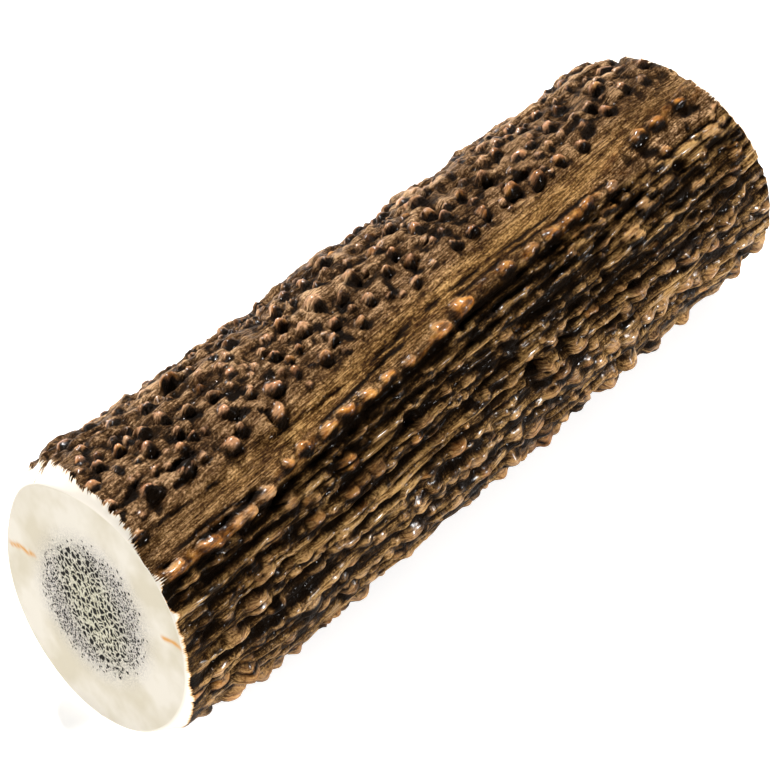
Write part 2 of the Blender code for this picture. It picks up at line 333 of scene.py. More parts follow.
THICK_END = SawnEnd(
    End.THICK, 0.0, (0.011, 0.167), 3.0, (0.105, 0.002), 0.22, 0.925, face_shift=1.6, face_corner=1.3,
)
THIN_END = SawnEnd(End.THIN, BEAM.length, (-0.12, 0.001), 1.6, (-0.12, 0.001), -0.12, 0.945)


@dataclass
class Skin:
    """Points on the bark in order along the beam, with what has been built up on them."""

    x: np.ndarray
    phi: np.ndarray
    bent_x: np.ndarray = field(init=False)
    bent_phi: np.ndarray = field(init=False)
    height: np.ndarray = field(init=False)
    raised: np.ndarray = field(init=False)
    pearl: np.ndarray = field(init=False)
    amber: np.ndarray = field(init=False)
    # Crests: painted lighter as wear and painted light, and glossy on the lower side
    crest: np.ndarray = field(init=False)
    # How far each point is painted dark: painted shade in creases, pits and under lumps, with some dark
    # stain
    stain_and_shade: np.ndarray = field(init=False)

    def __post_init__(self) -> None:
        """Starts every layer at nothing."""
        self.bent_x, self.bent_phi = self.x, self.phi
        for layer in ("height", "raised", "pearl", "amber", "crest", "stain_and_shade"):
            setattr(self, layer, np.zeros_like(self.x))

    def bend(self, along: np.ndarray, across: np.ndarray) -> None:
        """Bends the outlines of what grows, by millimetres along and across."""
        self.bent_x = self.x + along
        self.bent_phi = self.phi + np.degrees(across / BEAM.mean_radius)

    def near(self, along: float, reach: float) -> slice:
        """Gives the stretch of points within reach millimetres of a place along the beam."""
        first, last = np.searchsorted(self.x, (along - reach, along + reach))
        return slice(int(first), int(last))


@dataclass(frozen=True)
class Lump:
    """A pearl or a bead that the bark grew, with a recess on its lower side; its lower flank and a ring
    round it are painted dark as shade, and its upper cap lighter as wear and painted light.
    """

    along: float
    degrees: float
    radius: float
    height: float
    stretch: float = 1.0
    crown: float = 0.0
    amber: float = 0.0
    recess: float = 0.0
    # How dark its painted shade and stain are
    dark: float = 0.0
    roundness: float = 0.62
    smoothing: float = 0.8
    shade_reach: float = 2.2
    under_place: tuple[float, float] = (-0.15, 0.75)
    under_reach: tuple[float, float] = (0.95, 0.55)
    ring_place: float = 1.15
    ring_width: float = 0.3

    def grow(self, skin: Skin) -> None:
        """Adds the lump to the bark's layers.

        Args:
            skin: The layers to build on.
        """
        here = skin.near(self.along, (self.radius * self.stretch + 0.4) * self.shade_reach)
        along = (skin.bent_x[here] - self.along) / (self.radius * self.stretch)
        across = round_from(skin.bent_phi[here], self.degrees) / self.radius
        reach = along ** 2 + across ** 2
        dome = self.height * np.clip(1.0 - reach, 0.0, None) ** self.roundness
        skin.height[here] *= 1.0 - self.smoothing * self.crown * smooth_step(0.0, 0.5, 1.0 - reach)
        skin.raised[here] = np.cbrt(skin.raised[here] ** 3 + dome ** 3)
        # The cap leans to the upper side, where the light falls, so its lighter paint is wear and painted
        # light
        top = smooth_step(0.1, 0.8, 1.0 - reach - 0.7 * across)
        skin.pearl[here] = np.maximum(skin.pearl[here], top * self.crown)
        skin.crest[here] = np.maximum(skin.crest[here], top)
        clear = smooth_step(0.0, 0.6, 1.0 - reach)
        skin.amber[here] = np.maximum(skin.amber[here], clear * self.amber)
        # The lower flank and a ring round the lump are sunk and painted dark: painted shade on the side away
        # from the light, with some stain
        lengthwise = (along - self.under_place[0]) / self.under_reach[0]
        downwards = (across - self.under_place[1]) / self.under_reach[1]
        under = np.exp(-(lengthwise ** 2) - downwards ** 2)
        ring = np.exp(-(((np.sqrt(reach) - self.ring_place) / self.ring_width) ** 2))
        skin.height[here] -= self.recess * (under + 0.3 * ring)
        shade = self.dark * np.clip(1.6 * under + 0.45 * ring, 0.0, 1.0)
        skin.stain_and_shade[here] = np.maximum(skin.stain_and_shade[here], shade)


@dataclass(frozen=True)
class Pit:
    """A pit between beads, its bowl painted dark as shade and stain."""

    along: float
    degrees: float
    radius: float
    depth_share: float = 0.75
    roundness: float = 0.62

    def sink(self, skin: Skin) -> None:
        """Sinks the pit into the bark's layers.

        Args:
            skin: The layers to sink it into.
        """
        here = skin.near(self.along, self.radius * 1.2)
        reach = ((skin.x[here] - self.along) / self.radius) ** 2
        reach = reach + (round_from(skin.phi[here], self.degrees) / self.radius) ** 2
        bowl = np.clip(1.0 - reach, 0.0, None) ** self.roundness
        skin.height[here] -= self.depth_share * self.radius * bowl
        # The bowl is painted dark: painted shade, with some stain
        skin.stain_and_shade[here] = np.maximum(skin.stain_and_shade[here], bowl)


@dataclass
class Bark:
    """The bark's trough, ridges, crevices, pearls and beads, by the millimetre and the degree."""

    trough: Line = ((0, 31.5), (30, 28), (50, 22), (70, 18), (90, 15), (105, 9), (118, 6))
    trough_half_width: float = 2.6
    trough_depth: float = 0.7
    smooth_half_width: float = 3.2
    trough_pallor: Line = ((0, 0.2), (32, 1.0), (88, 1.0), (112, 0.45))
    trough_creases: tuple[Line, ...] = (
        ((36, 31), (41, 29.5), (45, 27.5), (50, 26), (58, 25)),
        ((49, 22), (56, 20.5), (62, 19.5), (68, 19), (76, 19.5), (86, 18.5)),
        ((29, 23.5), (36, 24.5), (44, 24), (52, 22.5)),
        ((3, 23.5), (10, 24.5), (17, 25)),
        ((5, 36.5), (12, 36), (20, 36.5)),
        ((64, 23), (74, 22.5), (84, 23), (93, 23.5)),
    )
    trough_crease_half_width: float = 0.3
    trough_crease_depth: float = 0.22
    whorl: Place = (47.0, 19.5, 1.1)
    whorl_stretch: float = 3.2
    whorl_rings: float = 8.5
    whorl_depth: float = 0.12
    bead_ridges: tuple[Line, ...] = (
        (
            (0, 43.5), (12, 42.5), (22, 41), (27, 37), (40, 35), (50, 34), (58, 31), (66, 28.5),
            (72, 27), (96, 27),
        ),
        ((97, 17), (103, 15.5), (112, 13), (118, 12)),
    )
    bead_ridge_half_width: float = 1.1
    bead_ridge_height: float = 0.45
    main_crevice: Line = (
        (0, 48.5), (12, 47.5), (22, 46), (30, 44), (36, 42), (42, 39.5), (50, 38.5), (58, 35.5),
        (66, 32.5), (76, 33), (86, 31.5), (97, 29.5),
    )
    side_crevices: tuple[Line, ...] = (
        ((5, 38.5), (14, 39.5), (23, 38)),
        ((0, 52.5), (10, 53.5), (22, 54), (31, 52)),
        ((1, 63), (10, 62), (20, 60.5), (34, 59), (44, 56), (52, 55)),
        ((0, 71), (14, 71.5), (30, 69.5), (42, 68.5), (52, 65.5), (63, 62.5)),
        (
            (0, 80), (16, 81.5), (30, 80), (42, 78), (52, 76), (62, 73.5), (76, 71.5), (90, 70.5),
            (118, 70),
        ),
        ((1, 88), (14, 88.5), (26, 86.5), (40, 84.5), (57, 84.5)),
        ((35, 48), (44, 46.5), (54, 46), (66, 43), (78, 42.5), (85, 44)),
        ((51, 51.5), (62, 51), (72, 51), (85, 49.5)),
        ((60, 60.5), (72, 59.5), (84, 60.5), (96, 58), (111, 57)),
        ((75, 66), (88, 63.5), (100, 62), (118, 63)),
        ((65, 38), (76, 37.5), (83, 40)),
        ((83, 46), (90, 41), (98, 38)),
        ((97, 46), (108, 44.5), (118, 42)),
        ((60, 80), (72, 81), (84, 80), (98, 79.5)),
    )
    crevice_half_width: float = 0.62
    main_crevice_half_width: float = 0.95
    main_crevice_depth: float = 1.5
    side_crevice_depth: float = 0.85
    pearls: tuple[Place, ...] = (
        (4.5, -4, 1.6), (4.5, 7, 1.6), (4, 25, 1.5), (8, -11.5, 1.7), (11.5, -12.5, 1.6),
        (16, -14, 1.6), (19.5, -13.5, 1.8), (26.5, -14.5, 1.5), (22.5, -7.5, 1.8), (26.5, -5.5, 1.7),
        (9, -3.5, 1.3), (14, -3.5, 1.7), (18.5, -3, 1.3), (9.5, 14, 2.1), (15.5, 14.5, 2.1),
        (19.5, 3.5, 1.3), (25.5, 4.5, 1.8), (30.2, 4, 1.8), (33, 9.5, 2.2), (37, -3.5, 1.7),
        (37.8, 3, 1.3), (37, 10, 1.3), (22.5, 17.5, 2.1), (25.5, 14, 1.5), (31, 19, 2.1),
        (42, -17, 1.6), (48, -13.5, 2.3), (54.5, -14, 2.3), (44, -28, 2.0), (43.2, -6, 1.8),
        (51, -8, 1.8), (59, -5.5, 1.7), (45, 7, 1.5), (47, 1.5, 1.5), (50, 8, 1.8), (53.5, 2, 1.6),
        (35, -24, 1.8), (47.5, -35, 1.6), (38, -37, 1.4), (60.5, -18, 1.6), (62, -11.5, 1.8),
        (62.8, -2, 1.6), (65.5, -26, 1.8), (68, -14, 1.7), (71.5, -18, 2.0), (72, -10, 1.8),
        (76.5, -15, 1.6), (77, -8, 1.3), (81.5, -14.5, 1.9), (82.3, 0.5, 2.1), (76.3, 1, 1.9),
        (72.5, 6, 1.7), (88, -12.5, 1.5), (90.7, -14.5, 1.7), (96, -17, 1.8), (99, -11.5, 1.6),
        (102.5, -12.5, 2.1), (99, -2.5, 2.1), (103.6, -3.5, 2.1), (91.3, 3, 1.6), (96, 4, 1.9),
        (92.5, -6, 1.5), (106.5, -19, 1.8), (109, -8, 1.8), (112.5, -6.5, 1.9), (115.5, -15, 1.9),
        (93.5, -27, 1.6), (87, -24.5, 1.7),
    )
    pearl_height_share: float = 0.52
    pearl_size_share: float = 0.57
    back_from: float = -35.0
    back_height_share: float = 0.8
    beads: tuple[Place, ...] = (
        (5.5, 43.5, 1.6), (11.3, 42.5, 1.9), (17.2, 42.5, 2.0), (21.8, 41.2, 1.7), (27, 36, 1.2),
        (30.5, 36.5, 1.2), (35, 36.5, 1.3), (38.7, 35.3, 1.3), (42.5, 34.5, 1.2), (46.5, 33.5, 1.2),
        (50.5, 34.5, 1.3), (57.5, 31.5, 1.7), (62.5, 30, 2.0), (72, 26.8, 1.3), (77, 28, 1.2),
        (81, 27.8, 1.3), (85, 27.6, 1.2), (89, 27.2, 1.2), (94, 27, 1.2), (103.3, 15.5, 1.4),
        (107.5, 14, 1.3), (112.8, 13, 1.2), (24, 50, 1.5), (34.5, 52.5, 1.7), (47.8, 57.5, 1.4),
        (16, 69, 1.5), (26.5, 63.5, 1.3), (33, 62.5, 1.3), (38, 63.5, 1.4), (46, 62, 1.4),
        (13.5, 77, 1.9), (9, 84.5, 1.6), (16, 85, 1.7), (24, 83.5, 1.6), (30.5, 82, 1.6),
        (51.5, 81.5, 1.8), (66, 53, 1.6), (92.5, 51, 1.8), (97, 43, 1.5), (114, 36.5, 1.9),
        (69.8, 78, 1.7), (76.8, 78, 1.7), (75, 66, 1.4), (80.5, 66.5, 1.4), (89.5, 75, 1.7),
        (96, 75, 1.7), (103.5, 65.5, 1.5), (112, 60.5, 1.5), (109.5, 77, 1.9), (102, 49.5, 1.4),
    )
    ridge_beads: int = 22
    bead_height_share: float = 0.5
    tall_bead_height_share: float = 0.9
    tall_bead_band: tuple[float, float] = (106.0, 136.0)
    bead_size_share: float = 0.85
    bead_stretch: float = 1.3
    rows: int = 76
    row_height: float = 0.75
    pits: tuple[Place, ...] = (
        (46.3, 53.5, 1.5), (67.8, 73.5, 2.1), (74, 72.5, 1.8), (85.4, 57.5, 1.2), (106, 38, 1.4),
    )
    rib_places: tuple[float, float] = (163.0, 197.0)
    rib_half_width: float = 2.2
    rib_height: float = 0.9
    chip_depth: float = 0.7
    chip_reach: tuple[float, float] = (8.0, 2.0)
    # What is scattered: how many, over which degrees round, and how large
    growth_seed: int = 20
    fine_seed: int = 7
    pearl_spacing: float = 0.86
    tries: int = 6
    past_ends: float = 2.0
    small_bias: float = 1.6
    trough_margin: float = 0.6
    back_pearls: int = 330
    back_band: tuple[float, float] = (-175.0, 22.0)
    back_sizes: tuple[float, float] = (1.0, 2.2)
    under_beads: int = 170
    under_band: tuple[float, float] = (84.0, 190.0)
    under_sizes: tuple[float, float] = (1.1, 2.0)
    granules: int = 480
    granule_band: tuple[float, float] = (-180.0, 22.0)
    granule_sizes: tuple[float, float] = (0.5, 0.95)
    small_lumps: int = 520
    small_band: tuple[float, float] = (36.0, 180.0)
    small_sizes: tuple[float, float] = (0.45, 0.9)
    grooves: int = 15
    groove_first: float = 100.0
    groove_step: float = 9.0
    groove_aside: float = 2.0
    groove_starts: tuple[float, float] = (-10.0, 45.0)
    groove_lengths: tuple[float, float] = (50.0, 110.0)
    groove_points: int = 6
    groove_wander: float = 1.6
    underside_middle: float = 200.0
    underside_half_width: float = 14.0
    # Unevenness, each kind by its height, its length along the beam and how many go round
    swells: tuple[Ripple, ...] = (Ripple(0.45, 13.0, 11), Ripple(0.22, 4.0, 34))
    bends_along: tuple[Ripple, ...] = (Ripple(0.55, 1.9, 60), Ripple(0.25, 0.9, 120))
    bends_across: tuple[Ripple, ...] = (Ripple(0.45, 1.9, 60), Ripple(0.25, 0.9, 120))
    amber_patches: Ripple = Ripple(1.0, 2.2, 90)
    crevice_breaks: Ripple = Ripple(1.0, 2.8, 40)
    row_wander: tuple[Ripple, ...] = (Ripple(2.4, 18.0, 14), Ripple(0.35, 5.0, 40))
    row_chain: tuple[Ripple, ...] = (Ripple(1.0, 7.0, rows), Ripple(0.3, 2.0, rows))
    row_bumps: Ripple = Ripple(0.05, 1.1, 130)
    row_fibres: Ripple = Ripple(0.14, 7.0, 190)
    wrinkle_bend: Ripple = Ripple(3.0, 4.0, 40)
    wrinkles: tuple[Ripple, ...] = (Ripple(1.0, 3.6, 84), Ripple(0.5, 1.5, 120))
    wrinkle_height: float = 0.24
    wrinkle_height_on_back: float = 0.4
    fold_depth: float = 0.3
    flecks: Ripple = Ripple(1.0, 1.7, 84)
    fleck_depth: float = 0.3
    fibres: tuple[Ripple, ...] = (Ripple(1.0, 6.0, 150), Ripple(0.6, 2.6, 230))
    fibre_height: float = 0.08
    chips: Ripple = Ripple(1.0, 5.0, 26)

    def on_trough(self, along: float, degrees: float, radius: float) -> bool:
        """Tells whether a lump there would stand in the smooth trough."""
        across, _ = along_line(self.trough, np.array(along), np.array(degrees))
        return bool(abs(across) < self.trough_half_width + radius * self.trough_margin)

    def scattered(
        self,
        rng: np.random.Generator,
        count: int,
        band: tuple[float, float],
        sizes: tuple[float, float],
        taken: list[Place],
    ) -> list[Place]:
        """Scatters lumps over a band of bark, none of them on a place that is taken.

        Args:
            rng: The seeded source of places.
            count: How many are wanted.
            band: The lowest and highest degrees round, at mid length.
            sizes: The smallest and largest radius in millimetres.
            taken: Places that hold a lump already.

        Returns:
            The new places.
        """
        places = list(taken)
        for _ in range(count * self.tries):
            if len(places) - len(taken) == count:
                break
            along = rng.uniform(-self.past_ends, BEAM.length + self.past_ends)
            degrees = rng.uniform(*band) + BEAM.grain_twist * (along - 0.5 * BEAM.length)
            radius = sizes[0] + (sizes[1] - sizes[0]) * rng.uniform() ** self.small_bias
            if self.on_trough(along, degrees, radius):
                continue
            others = np.array(places)
            gaps = np.hypot(along - others[:, 0], round_from(np.array(degrees), others[:, 1]))
            if np.all(gaps > self.pearl_spacing * (radius + others[:, 2])):
                places.append((along, degrees, radius))
        return places[len(taken):]

    def grown_grooves(self, rng: np.random.Generator) -> list[Line]:
        """Lays grooves that wander along the underside, with the grain.

        Args:
            rng: The seeded source of their places.

        Returns:
            The grooves' lines.
        """
        grooves = []
        slope = BEAM.grain_twist * 0.5
        for number in range(self.grooves):
            aside = rng.uniform(-self.groove_aside, self.groove_aside)
            degrees = self.groove_first + self.groove_step * number + aside
            start = rng.uniform(*self.groove_starts)
            end = start + rng.uniform(*self.groove_lengths)
            stations = np.linspace(start, end, self.groove_points)
            wander = rng.uniform(-self.groove_wander, self.groove_wander, self.groove_points)
            turned = degrees + slope * (stations - start) + wander
            grooves.append(tuple(zip(stations, turned)))
        return grooves

    def lower_side(self, x: np.ndarray, phi: np.ndarray) -> np.ndarray:
        """Tells how far each point is into the ridged, glossy lower side.

        Args:
            x: Millimetres along.
            phi: Degrees round.

        Returns:
            From 0 above the ridge of amber beads to 1 on the lower side.
        """
        ridge = self.bead_ridges[0]
        across, _ = along_line(ridge, np.clip(x, 0.0, ridge[-1][0]), phi)
        underneath = self.underside_half_width - np.abs(round_from(phi, self.underside_middle))
        return np.clip(smooth_step(-0.6, 1.2, across) + smooth_step(-1.5, 1.5, underneath), 0.0, 1.0)

    def build_up(self, skin: Skin) -> None:
        """Builds the whole relief on the skin's layers, coarse growth first.

        Args:
            skin: The layers to build on.
        """
        x, phi = skin.x, skin.phi
        rng = np.random.default_rng(self.growth_seed)
        pearls = self.scattered(rng, self.back_pearls, self.back_band, self.back_sizes, list(self.pearls))
        beads = self.scattered(rng, self.under_beads, self.under_band, self.under_sizes, list(self.beads))
        skin.height += ripples(self.swells, rng, x, phi)
        fine = np.random.default_rng(self.fine_seed)
        along = ripples(self.bends_along, fine, x, phi)
        skin.bend(along, ripples(self.bends_across, fine, x, phi))
        self.raise_ridges(fine, skin)
        grooves = self.grown_grooves(rng)
        main_half_width, main_depth = self.main_crevice_half_width, self.main_crevice_depth
        self.cut_crevice(fine, skin, self.main_crevice, main_half_width, main_depth)
        for crevice in list(self.side_crevices) + grooves:
            self.cut_crevice(fine, skin, crevice, self.crevice_half_width, self.side_crevice_depth)
        for crease in self.trough_creases:
            self.cut_crevice(fine, skin, crease, self.trough_crease_half_width, self.trough_crease_depth)
        self.press_whorl(skin)
        for place in self.pits:
            Pit(*place).sink(skin)
        self.grow_rows(fine, skin)
        self.grow_rough(fine, skin)
        self.grow_lumps(fine, skin, pearls, beads)
        from_rim, to_rim = self.chip_reach
        chipped = smooth_step(BEAM.length - from_rim, BEAM.length - to_rim, x)
        chipped = chipped * smooth_step(0.1, 0.6, self.chips.over(fine, x, phi))
        skin.height -= self.chip_depth * chipped
        skin.raised *= 1.0 - 0.5 * chipped

    def raise_ridges(self, rng: np.random.Generator, skin: Skin) -> None:
        """Raises the flanks, the ridges of amber beads and the ribs underneath, and sinks the trough.

        Args:
            rng: The seeded source of the amber patches.
            skin: The layers to build on.
        """
        x, phi = skin.x, skin.phi
        for flank in FLANKS:
            skin.height += flank.rise(x, phi)
        skin.height += swell(self.trough, self.trough_half_width, -self.trough_depth, x, phi)
        for ridge in self.bead_ridges:
            crest = swell(ridge, self.bead_ridge_half_width, 1.0, skin.bent_x, skin.bent_phi)
            skin.height += self.bead_ridge_height * crest
            patchy = smooth_step(-0.1, 0.7, self.amber_patches.over(rng, x, phi))
            skin.amber = np.maximum(skin.amber, 0.5 * crest * patchy)
        for place in self.rib_places:
            rib = ((-9, place), (BEAM.length + 9, place))
            skin.height += swell(rib, self.rib_half_width, self.rib_height, x, phi)

    def cut_crevice(
        self, rng: np.random.Generator, skin: Skin, crevice: Line, half_width: float, depth: float
    ) -> None:
        """Cuts one crevice into the skin's layers, broken off here and there.

        Args:
            rng: The seeded source of its breaks.
            skin: The layers to cut.
            crevice: Where it runs.
            half_width: Half its width in millimetres.
            depth: Its depth in millimetres.
        """
        open_here = smooth_step(-0.6, 0.15, self.crevice_breaks.over(rng, skin.x, skin.phi))
        groove = swell(crevice, half_width, 1.0, skin.x, 0.6 * skin.phi + 0.4 * skin.bent_phi)
        groove = groove * (0.35 + 0.65 * open_here)
        skin.height -= depth * groove
        # The groove is painted dark: painted shade in the crevice, with some stain
        skin.stain_and_shade = np.maximum(skin.stain_and_shade, groove)

    def press_whorl(self, skin: Skin) -> None:
        """Draws the long rings of the whorl in the trough's grain.

        Args:
            skin: The layers to build on.
        """
        along, degrees, half_width = self.whorl
        lengthwise = (skin.x - along) / self.whorl_stretch
        reach = np.hypot(lengthwise, round_from(skin.phi, degrees)) / half_width
        rings = np.clip(np.sin(self.whorl_rings * reach), 0.0, 1.0) ** 2
        rings = rings * (1.0 - smooth_step(0.8, 1.4, reach))
        skin.height -= self.whorl_depth * rings
        skin.stain_and_shade = np.maximum(skin.stain_and_shade, 0.5 * rings)

    def grow_rows(self, rng: np.random.Generator, skin: Skin) -> None:
        """Grows the lower side's close rows of long beads.

        Args:
            rng: The seeded source of the beads.
            skin: The layers to build on.
        """
        x, phi = skin.x, skin.phi
        lower = self.lower_side(x, phi)
        turned = BEAM.along_grain(x, phi) + ripples(self.row_wander, rng, x, phi)
        place = turned / 360.0 * self.rows
        row = np.round(place)
        row_phi = row / self.rows * 360.0
        chain = ripples(self.row_chain, rng, x, row_phi)
        across = np.abs(place - row) * 2.0
        dome = np.clip(1.0 - across ** 2, 0.0, 1.0) ** 0.6 * np.clip(0.7 + 0.5 * chain, 0.05, 1.1)
        skin.height += self.row_height * (dome - 0.5) * lower
        # The grooves between rows are painted dark: painted shade, with some stain
        skin.stain_and_shade = np.maximum(skin.stain_and_shade, (1.0 - smooth_step(0.06, 0.46, dome)) * lower)
        skin.crest = np.maximum(skin.crest, smooth_step(0.45, 1.0, dome) * lower)
        bumps = self.row_bumps.over(rng, x, phi)
        skin.height += lower * (bumps + self.row_fibres.over(rng, x, turned))

    def grow_rough(self, rng: np.random.Generator, skin: Skin) -> None:
        """Grows the creases and wrinkles between the pearls, and the fibres of the whole bark.

        Args:
            rng: The seeded source of the grain.
            skin: The layers to build on.
        """
        x, phi = skin.x, skin.phi
        on_trough = swell(self.trough, self.smooth_half_width, 1.0, x, phi)
        rough = (1.0 - self.lower_side(x, phi)) * (1.0 - 0.9 * on_trough)
        bent = phi + self.wrinkle_bend.over(rng, x, phi)
        wrinkle = ripples(self.wrinkles, rng, x, bent)
        back = smooth_step(4.0, -20.0, phi) * smooth_step(-190.0, -150.0, phi)
        skin.height += rough * (self.wrinkle_height + self.wrinkle_height_on_back * back) * wrinkle
        # Wrinkle tops are marked as crests, painted lighter as wear and painted light
        skin.crest = np.maximum(skin.crest, rough * (0.3 + 0.5 * back) * smooth_step(0.15, 0.9, wrinkle))
        fold = np.clip(1.0 - 2.6 * np.abs(wrinkle + 0.35), 0.0, 1.0) ** 2
        skin.height -= rough * self.fold_depth * fold
        # The folds are painted dark: painted shade in the creases, with some stain
        skin.stain_and_shade = np.maximum(skin.stain_and_shade, rough * fold * (0.5 + 0.45 * back))
        flecks = self.flecks.over(rng, skin.bent_x, skin.bent_phi)
        fleck = rough * (1.0 - 0.5 * back) * smooth_step(0.3, 0.65, flecks)
        # The flecks are sunk and painted dark: painted shade in the pits, with some stain
        skin.height -= self.fleck_depth * fleck
        skin.stain_and_shade = np.maximum(skin.stain_and_shade, fleck)
        skin.height += self.fibre_height * ripples(self.fibres, rng, x, phi)

    def grow_lumps(
        self, rng: np.random.Generator, skin: Skin, pearls: list[Place], beads: list[Place]
    ) -> None:
        """Grows the pearls and beads and the small lumps between them.

        Args:
            rng: The seeded source of their looks.
            skin: The layers to build on.
            pearls: The pearls of the back, beside those of the photographed side.
            beads: The beads of the underside, beside those of the photographed side.
        """
        taken = list(self.pearls) + pearls + list(self.beads) + beads
        granules = self.scattered(rng, self.granules, self.granule_band, self.granule_sizes, taken)
        small = self.scattered(rng, self.small_lumps, self.small_band, self.small_sizes, taken)
        for along, degrees, radius in list(self.pearls) + pearls:
            tall = self.pearl_height_share * (1.0 if degrees > self.back_from else self.back_height_share)
            size = radius * self.pearl_size_share
            Lump(
                along, degrees - 1.5, size, radius * tall, crown=rng.uniform(0.3, 1.0),
                amber=rng.uniform(-0.35, 0.6), recess=0.26 * radius, dark=rng.uniform(0.85, 1.0),
            ).grow(skin)
        for number, (along, degrees, radius) in enumerate(list(self.beads) + beads):
            amber = rng.uniform(0.2, 0.95) if number < self.ridge_beads else rng.uniform(-0.9, 0.6)
            low, high = self.tall_bead_band
            share = self.tall_bead_height_share if low < degrees < high else self.bead_height_share
            Lump(
                along, degrees, radius * self.bead_size_share, radius * share, self.bead_stretch,
                crown=0.15, amber=amber, recess=0.12 * radius, dark=0.85,
            ).grow(skin)
        for place in granules:
            dark = rng.uniform(0.4, 1.0)
            Lump(*place, place[2] * 0.75, crown=0.4, recess=0.3 * place[2], dark=dark).grow(skin)
        for place in small:
            amber = rng.uniform(-0.6, 0.35)
            Lump(*place, place[2] * 0.7, 1.6, crown=0.1, amber=amber, recess=0.15, dark=0.8).grow(skin)


@dataclass(frozen=True)
class SpongyCore:
    """The open cells in the middle of a sawn end, in millimetres across and up on the face."""

    centre: tuple[float, float] = (-1.3, 0.4)
    fine_radius: float = 12.2
    open_half: tuple[float, float] = (9.6, 6.0)
    open_turn: float = 49.0
    stretch: float = 1.3
    open_cell: float = 0.78
    open_wall: float = 0.11
    open_shut: float = -0.25
    fine_cell: float = 0.42
    fine_wall: float = 0.14
    fine_shut: float = 0.42
    stir: float = 0.9

    def openness(self, across: np.ndarray, up: np.ndarray) -> np.ndarray:
        """Tells how open the sponge is.

        Args:
            across: Millimetres across the face.
            up: Millimetres up it.

        Returns:
            From 0 outside it to 1 in the middle.
        """
        turn = math.radians(self.open_turn)
        a, b = across - self.centre[0], up - self.centre[1]
        u = (a * math.cos(turn) + b * math.sin(turn)) / self.open_half[0]
        v = (b * math.cos(turn) - a * math.sin(turn)) / self.open_half[1]
        return 1.0 - smooth_step(0.35, 1.25, np.hypot(u, v))

    def fineness(self, across: np.ndarray, up: np.ndarray) -> np.ndarray:
        """Tells how far each point is into the finely pored fringe, from 0 to 1."""
        reach = np.hypot(across - self.centre[0], up - self.centre[1]) / self.fine_radius
        return 1.0 - smooth_step(0.62, 1.06, reach)


@dataclass(frozen=True)
class AntlerColours:
    """Colours of a waxed antler roll, read from pearls to saw cut."""

    # The dark ends of these ramps are also reached where painted shade lowers the tone, the light ends where
    # painted light on crests raises it
    ground_dark: str = "#33210f"
    ground: str = "#745536"
    ground_light: str = "#dfb68a"
    trough_dark: str = "#3c2612"
    trough: str = "#8d6737"
    trough_light: str = "#d8ab6c"
    lower_dark: str = "#291a0b"
    lower: str = "#70532f"
    lower_light: str = "#c29960"
    grey_patch: str = "#a59c8c"
    hairline: str = "#7d6448"
    # Pearl caps: lighter on the side that leans to the light, as wear and painted light
    pearl_dark: str = "#472919"
    pearl: str = "#cb9168"
    amber_edge: str = "#4f290e"
    amber: str = "#b06a24"
    amber_light: str = "#e2a04a"
    # Near black laid over creases, pits and lumps' lower flanks: painted shade there, with some dark stain
    stain_and_shade: str = "#080402"
    skin_edge: str = "#a8591c"
    under_skin: str = "#d9b27a"
    bevel: str = "#ece4d6"
    dense: str = "#d9d2c4"
    dense_warm: str = "#c9c0ab"
    sponge: str = "#9d9779"
    strut: str = "#e4dfca"
    sponge_grey: str = "#9a9593"
    # Near black of the open cells: painted shade inside them
    pore: str = "#070603"
    crack: str = "#cf9038"
    growth_line: str = "#6b5136"
    untinted: str = "#ffffff"


@dataclass(frozen=True)
class Pattern:
    """Noise that follows the grain, by its size along and across in millimetres."""

    along: float
    across: float
    detail: float
    roughness: float


# Settings of nodes that recur: mixes of numbers, of colours and of tints, products and sums of products
NUMBERS = {"data_type": "FLOAT"}
COLOURS = {"data_type": "RGBA"}
TINTS = {"data_type": "RGBA", "blend_type": "MULTIPLY"}
TIMES = {"operation": "MULTIPLY"}
TIMES_PLUS = {"operation": "MULTIPLY_ADD"}


@dataclass
class NodeBench:
    """A place to lay out one material's nodes."""

    tree: bpy.types.NodeTree

    def add(
        self,
        kind: str,
        inputs: dict[Any, Any],
        settings: dict[str, Any] | None = None,
        stops: tuple[tuple[float, str], ...] = (),
        output: int | str = 0,
    ) -> Any:
        """Adds a node with its settings, values and links.

        Args:
            kind: The node's type, without the ShaderNode at its front.
            inputs: A value, or the socket to link, for each of its inputs.
            settings: Its own settings by name.
            stops: The places and hex colours of its colour ramp, for a node that has one.
            output: Which of its outputs is wanted.

        Returns:
            The wanted output's socket, or the node where it has none.
        """
        node = self.tree.nodes.new("ShaderNode" + kind)
        for name, value in (settings or {}).items():
            setattr(node, name, value)
        for number, (place, colour) in enumerate(stops):
            elements = node.color_ramp.elements
            stop = elements[number] if number < 2 else elements.new(place)
            stop.position, stop.color = place, linear(colour)
        sockets = {socket.name: socket for socket in node.inputs if socket.enabled}
        for key, value in inputs.items():
            socket = node.inputs[key] if isinstance(key, int) else sockets[key]
            if isinstance(value, bpy.types.NodeSocket):
                self.tree.links.new(value, socket)
            else:
                socket.default_value = value
        wanted = [socket for socket in node.outputs if socket.enabled]
        if isinstance(output, str):
            return node.outputs[output]
        return wanted[output] if wanted else node


